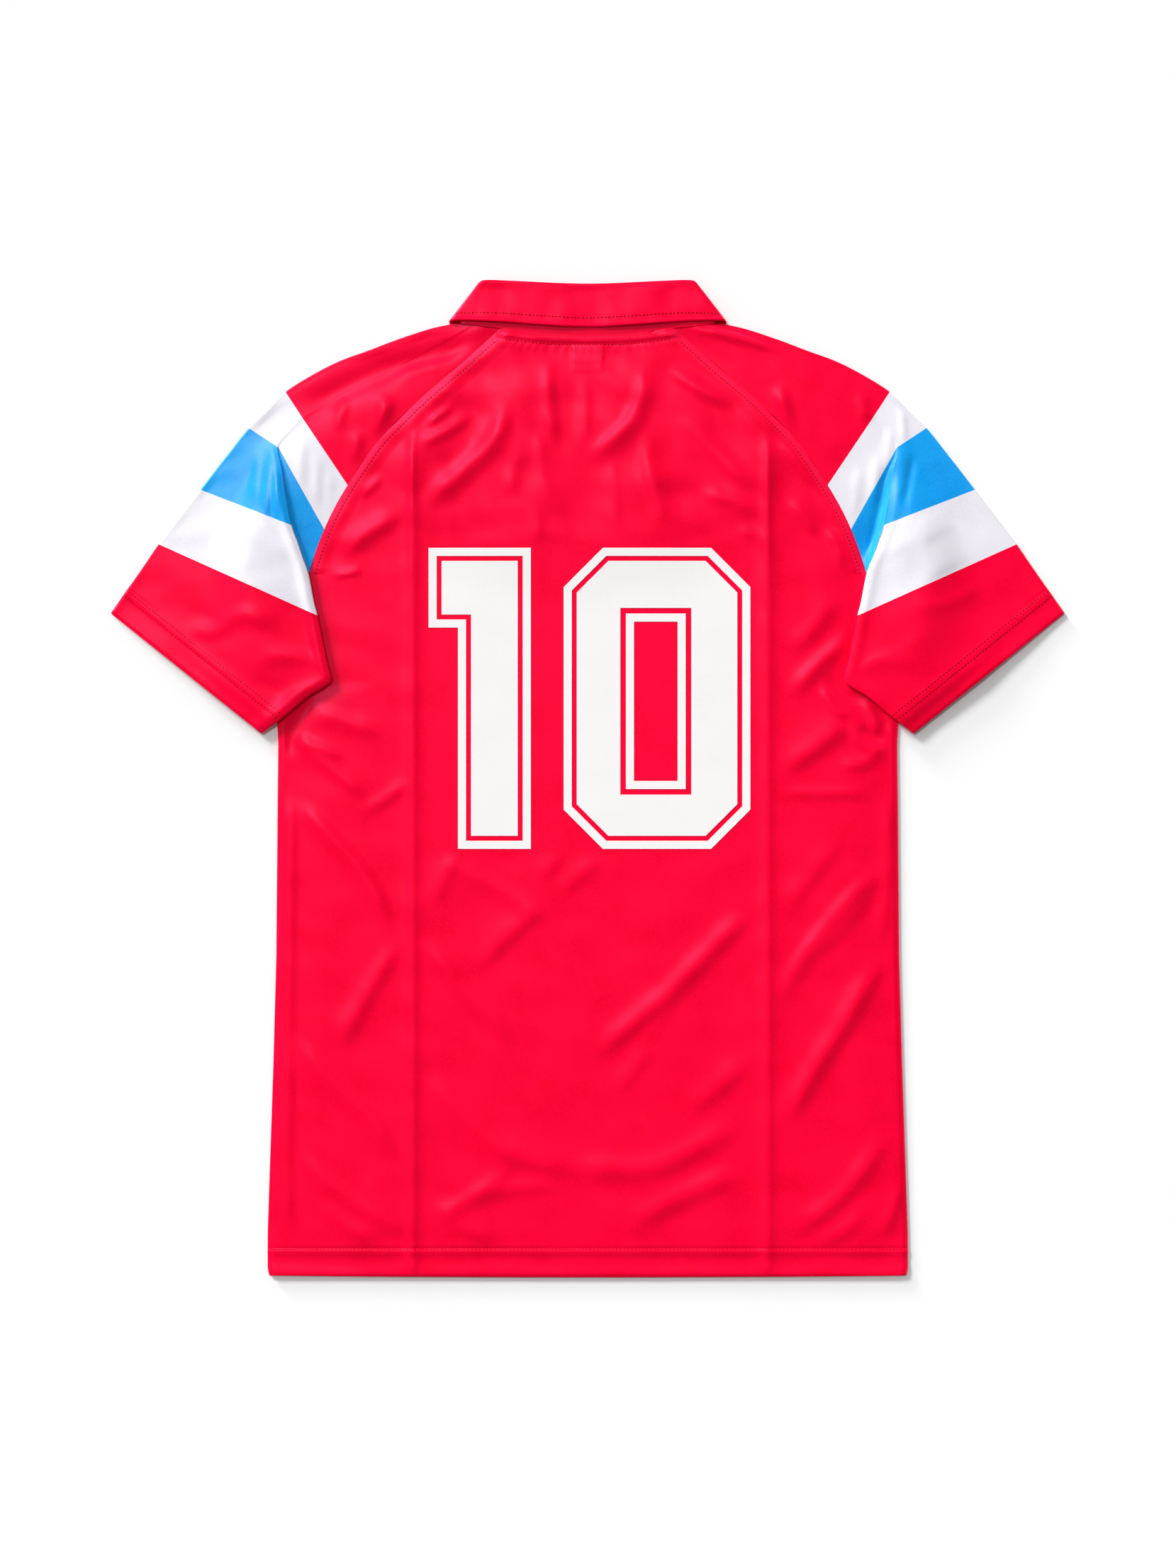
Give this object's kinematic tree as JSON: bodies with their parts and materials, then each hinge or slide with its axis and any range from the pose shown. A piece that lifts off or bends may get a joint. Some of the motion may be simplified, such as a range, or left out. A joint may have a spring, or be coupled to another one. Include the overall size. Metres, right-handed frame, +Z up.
{
  "type": "football jersey laid flat",
  "caption": "Short-sleeved raglan football jersey with a fold-over collar and banded sleeves, laid flat with its back up.",
  "frame": {"origin": "centre of the jersey's outline, on the surface that it lies on", "axes": "+Z up, away from the surface; +Y along the centre back, from the hem to the collar; +X to the wearer's right sleeve"},
  "size_m": [0.753, 0.7869, 0.0076],
  "materials": {
    "red_knit": "soft sheen of a smooth polyester knit",
    "banded_knit": "red knit with white, blue and white bands and a soft sheen",
    "collar_knit": "matte fine rib",
    "label_cloth": "matte woven tape",
    "number_film": "matte heat-pressed film",
    "thread": "sewing thread"
  },
  "bodies": {
    "root": {"back": "red_knit", "front": "red_knit", "sleeve_left": "banded_knit", "sleeve_right": "banded_knit", "collar": "collar_knit", "neck_label": "label_cloth"}
  },
  "joints": []
}
